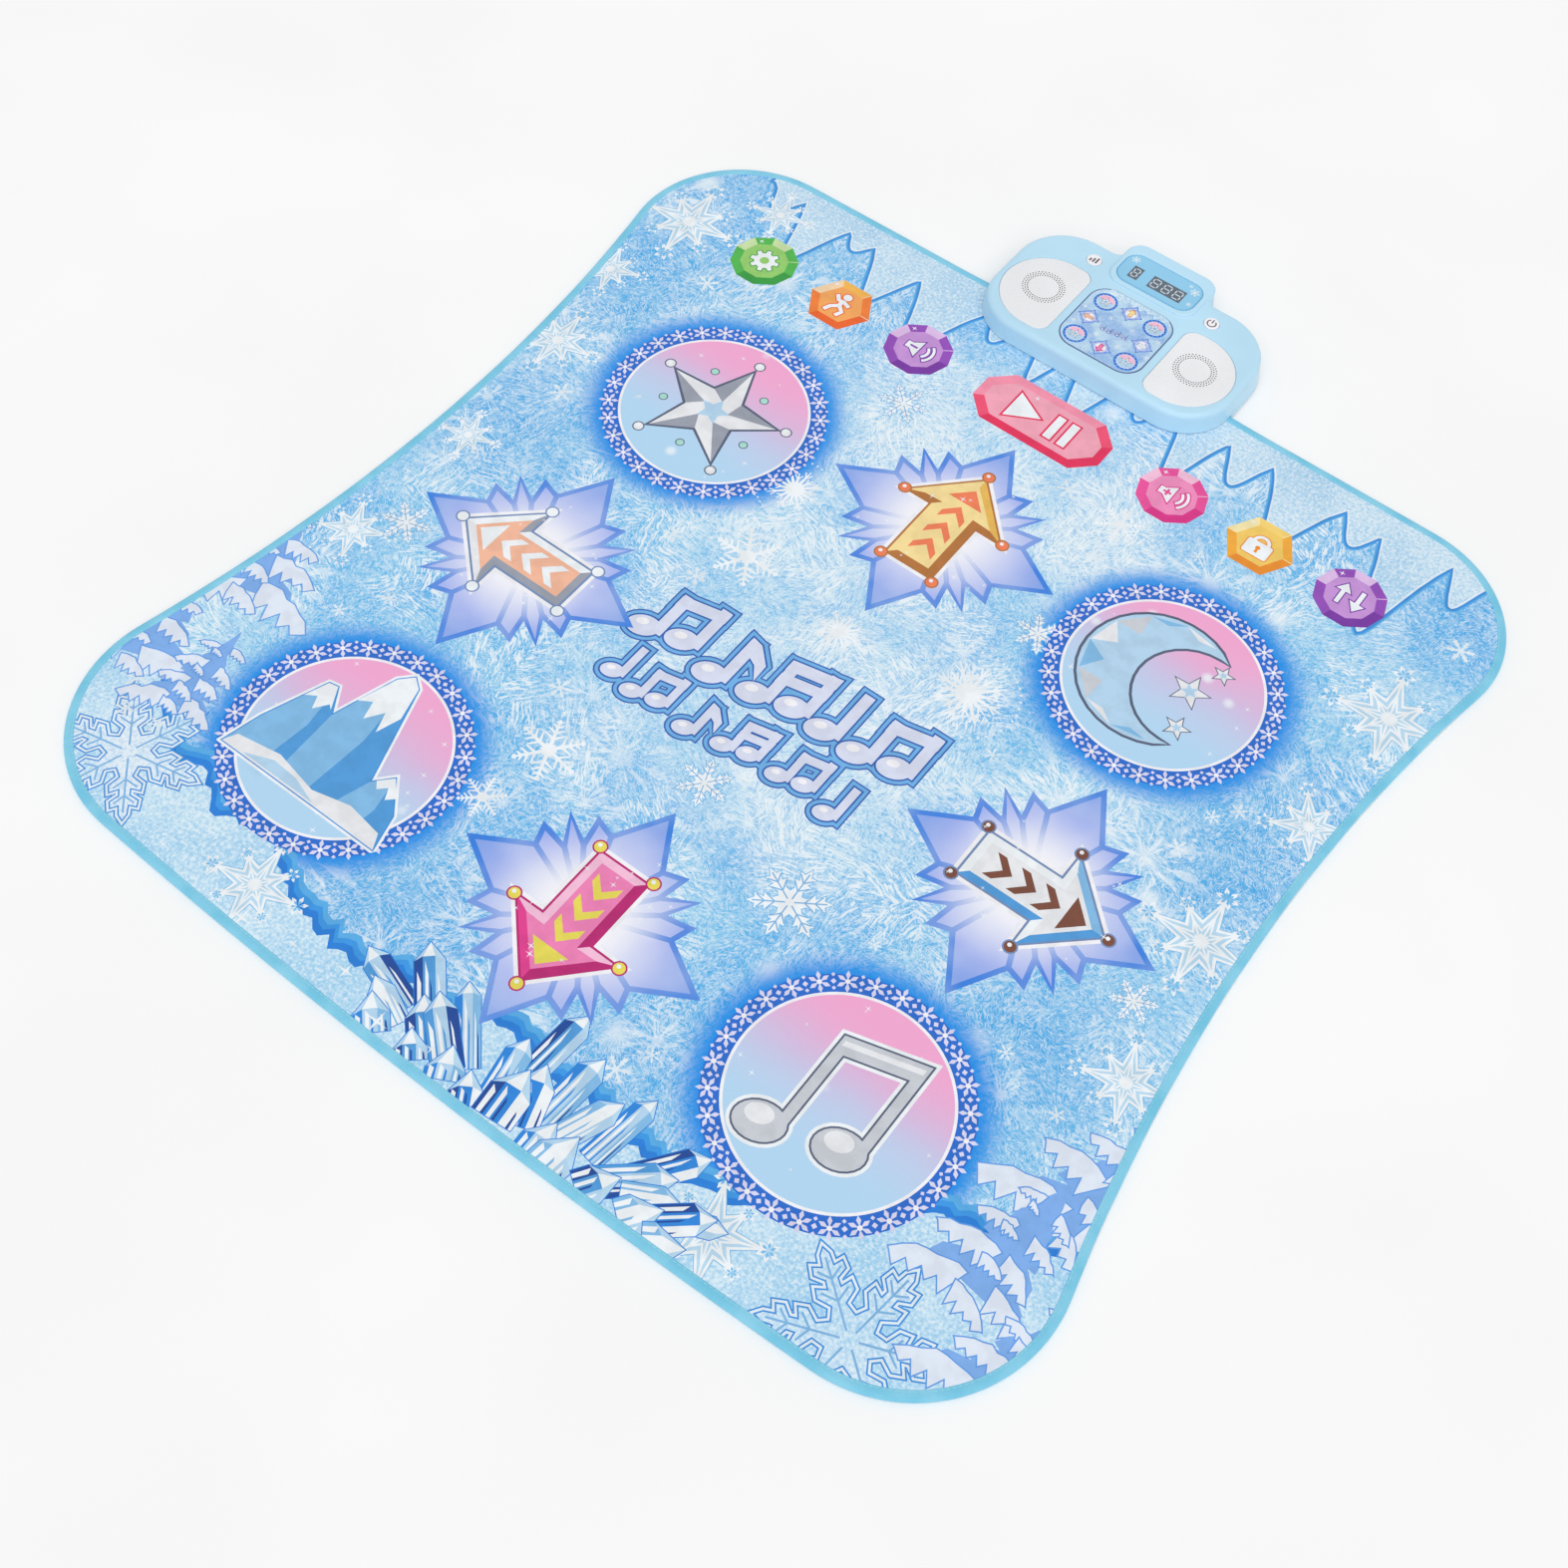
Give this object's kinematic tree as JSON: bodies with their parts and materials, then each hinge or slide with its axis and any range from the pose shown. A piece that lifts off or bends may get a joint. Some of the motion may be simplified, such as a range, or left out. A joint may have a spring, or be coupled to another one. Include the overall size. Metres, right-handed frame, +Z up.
{
  "type": "electronic dance mat",
  "caption": "Padded electronic dance mat with round and star foot pads, a row of touch keys and a sound box with speakers and display gripping its far edge.",
  "frame": {"origin": "middle of the whole object's footprint, on the surface that it lies on", "axes": "+Z up out of the mat, +Y from the player towards the sound box, +X to the player's right"},
  "size_m": [0.92, 1.061, 0.0295],
  "materials": {
    "printed_cloth": "printed polyester cloth over sponge, matte",
    "edge_tape": "sewn tape, matte",
    "round_pad_cloth": "printed cloth, matte",
    "star_pad_cloth": "printed cloth, matte",
    "green_cloth": "printed cloth, matte",
    "orange_cloth": "printed cloth, matte",
    "purple_cloth": "printed cloth, matte",
    "red_cloth": "printed cloth, matte",
    "pink_cloth": "printed cloth, matte",
    "yellow_cloth": "printed cloth, matte",
    "contact_film": "clear film with printed tracks",
    "foam": "open foam sheet",
    "grip_fabric": "dotted non-slip cloth",
    "carbon_contact": "printed carbon ink",
    "shell_plastic": "satin moulded plastic",
    "white_plastic": "satin moulded plastic",
    "button_plastic": "soft moulded plastic",
    "picture_print": "printed insert",
    "display_pane": "printed clear pane",
    "display_digits": "dark display face",
    "circuit_board": "green solder mask",
    "speaker_metal": "black pressed steel",
    "speaker_cone": "matte cone",
    "battery_wrap": "plain wrapped cell",
    "plated_steel": "plated",
    "foot_rubber": "matte"
  },
  "bodies": {
    "root": {"grip_base": "grip_fabric", "base_foam": "foam", "lower_film": "contact_film", "spacer_foam": "foam", "upper_film": "contact_film", "cover_sheet": "printed_cloth", "edge_binding": "edge_tape", "upper_shell": "shell_plastic", "lower_shell": "shell_plastic", "speaker_cover_left": "white_plastic", "speaker_cover_right": "white_plastic", "picture_panel": "picture_print", "display_window": "display_pane", "display_module": "display_digits", "control_board": "circuit_board", "main_board": "circuit_board", "speaker_frame_left": "speaker_metal", "speaker_frame_right": "speaker_metal", "film_tail": "contact_film", "tail_socket": "white_plastic", "clamp_bar": "shell_plastic", "battery_1": "battery_wrap", "battery_2": "battery_wrap", "battery_3": "battery_wrap", "battery_plate_left": "plated_steel", "battery_plate_right": "plated_steel", "screw_front_left": "plated_steel", "screw_front_right": "plated_steel", "screw_rear_left": "plated_steel", "screw_rear_right": "plated_steel", "foot_left": "foot_rubber", "foot_right": "foot_rubber"},
    "far_left_pad": {"pad_far_left": "round_pad_cloth", "contact_far_left": "carbon_contact"},
    "far_right_pad": {"pad_far_right": "round_pad_cloth", "contact_far_right": "carbon_contact"},
    "near_left_pad": {"pad_near_left": "round_pad_cloth", "contact_near_left": "carbon_contact"},
    "near_right_pad": {"pad_near_right": "round_pad_cloth", "contact_near_right": "carbon_contact"},
    "far_pad": {"pad_far": "star_pad_cloth", "contact_far": "carbon_contact"},
    "near_pad": {"pad_near": "star_pad_cloth", "contact_near": "carbon_contact"},
    "left_pad": {"pad_left": "star_pad_cloth", "contact_left": "carbon_contact"},
    "right_pad": {"pad_right": "star_pad_cloth", "contact_right": "carbon_contact"},
    "game_key": {"key_game": "green_cloth"},
    "dance_key": {"key_dance": "orange_cloth"},
    "volume_down_key": {"key_volume_down": "purple_cloth"},
    "start_key": {"key_start": "red_cloth"},
    "volume_up_key": {"key_volume_up": "pink_cloth"},
    "lock_key": {"key_lock": "yellow_cloth"},
    "track_key": {"key_track": "purple_cloth"},
    "power_press": {"power_button": "button_plastic"},
    "volume_press": {"volume_button": "button_plastic"},
    "left_cone": {"speaker_cone_left": "speaker_cone"},
    "right_cone": {"speaker_cone_right": "speaker_cone"},
    "sliding_door": {"battery_door": "shell_plastic"}
  },
  "joints": [
    {"name": "far_left_pad_press", "type": "slide", "parent": "root", "child": "far_left_pad", "axis": [0, 0, -1], "range_m": [0, 0.00125], "stiffness_N_per_m": 4000, "springref_m": -0.001},
    {"name": "far_right_pad_press", "type": "slide", "parent": "root", "child": "far_right_pad", "axis": [0, 0, -1], "range_m": [0, 0.00125], "stiffness_N_per_m": 4000, "springref_m": -0.001},
    {"name": "near_left_pad_press", "type": "slide", "parent": "root", "child": "near_left_pad", "axis": [0, 0, -1], "range_m": [0, 0.00125], "stiffness_N_per_m": 4000, "springref_m": -0.001},
    {"name": "near_right_pad_press", "type": "slide", "parent": "root", "child": "near_right_pad", "axis": [0, 0, -1], "range_m": [0, 0.00125], "stiffness_N_per_m": 4000, "springref_m": -0.001},
    {"name": "far_pad_press", "type": "slide", "parent": "root", "child": "far_pad", "axis": [0, 0, -1], "range_m": [0, 0.00125], "stiffness_N_per_m": 4000, "springref_m": -0.001},
    {"name": "near_pad_press", "type": "slide", "parent": "root", "child": "near_pad", "axis": [0, 0, -1], "range_m": [0, 0.00125], "stiffness_N_per_m": 4000, "springref_m": -0.001},
    {"name": "left_pad_press", "type": "slide", "parent": "root", "child": "left_pad", "axis": [0, 0, -1], "range_m": [0, 0.00125], "stiffness_N_per_m": 4000, "springref_m": -0.001},
    {"name": "right_pad_press", "type": "slide", "parent": "root", "child": "right_pad", "axis": [0, 0, -1], "range_m": [0, 0.00125], "stiffness_N_per_m": 4000, "springref_m": -0.001},
    {"name": "game_key_press", "type": "slide", "parent": "root", "child": "game_key", "axis": [0, 0, -1], "range_m": [0, 0.00125], "stiffness_N_per_m": 2500, "springref_m": -0.001},
    {"name": "dance_key_press", "type": "slide", "parent": "root", "child": "dance_key", "axis": [0, 0, -1], "range_m": [0, 0.00125], "stiffness_N_per_m": 2500, "springref_m": -0.001},
    {"name": "volume_down_key_press", "type": "slide", "parent": "root", "child": "volume_down_key", "axis": [0, 0, -1], "range_m": [0, 0.00125], "stiffness_N_per_m": 2500, "springref_m": -0.001},
    {"name": "start_key_press", "type": "slide", "parent": "root", "child": "start_key", "axis": [0, 0, -1], "range_m": [0, 0.00125], "stiffness_N_per_m": 2500, "springref_m": -0.001},
    {"name": "volume_up_key_press", "type": "slide", "parent": "root", "child": "volume_up_key", "axis": [0, 0, -1], "range_m": [0, 0.00125], "stiffness_N_per_m": 2500, "springref_m": -0.001},
    {"name": "lock_key_press", "type": "slide", "parent": "root", "child": "lock_key", "axis": [0, 0, -1], "range_m": [0, 0.00125], "stiffness_N_per_m": 2500, "springref_m": -0.001},
    {"name": "track_key_press", "type": "slide", "parent": "root", "child": "track_key", "axis": [0, 0, -1], "range_m": [0, 0.00125], "stiffness_N_per_m": 2500, "springref_m": -0.001},
    {"name": "power_button_press", "type": "slide", "parent": "root", "child": "power_press", "axis": [0, 0, -1], "range_m": [0, 0.0004], "stiffness_N_per_m": 3000, "springref_m": -0.0005},
    {"name": "volume_button_press", "type": "slide", "parent": "root", "child": "volume_press", "axis": [0, 0, -1], "range_m": [0, 0.0004], "stiffness_N_per_m": 3000, "springref_m": -0.0005},
    {"name": "left_cone_throw", "type": "slide", "parent": "root", "child": "left_cone", "axis": [0, 0, 1], "range_m": [-0.0003, 0.0003], "stiffness_N_per_m": 800},
    {"name": "right_cone_throw", "type": "slide", "parent": "root", "child": "right_cone", "axis": [0, 0, 1], "range_m": [-0.0003, 0.0003], "stiffness_N_per_m": 800},
    {"name": "door_slide", "type": "slide", "parent": "root", "child": "sliding_door", "axis": [0, 1, 0], "range_m": [0, 0.05]}
  ]
}
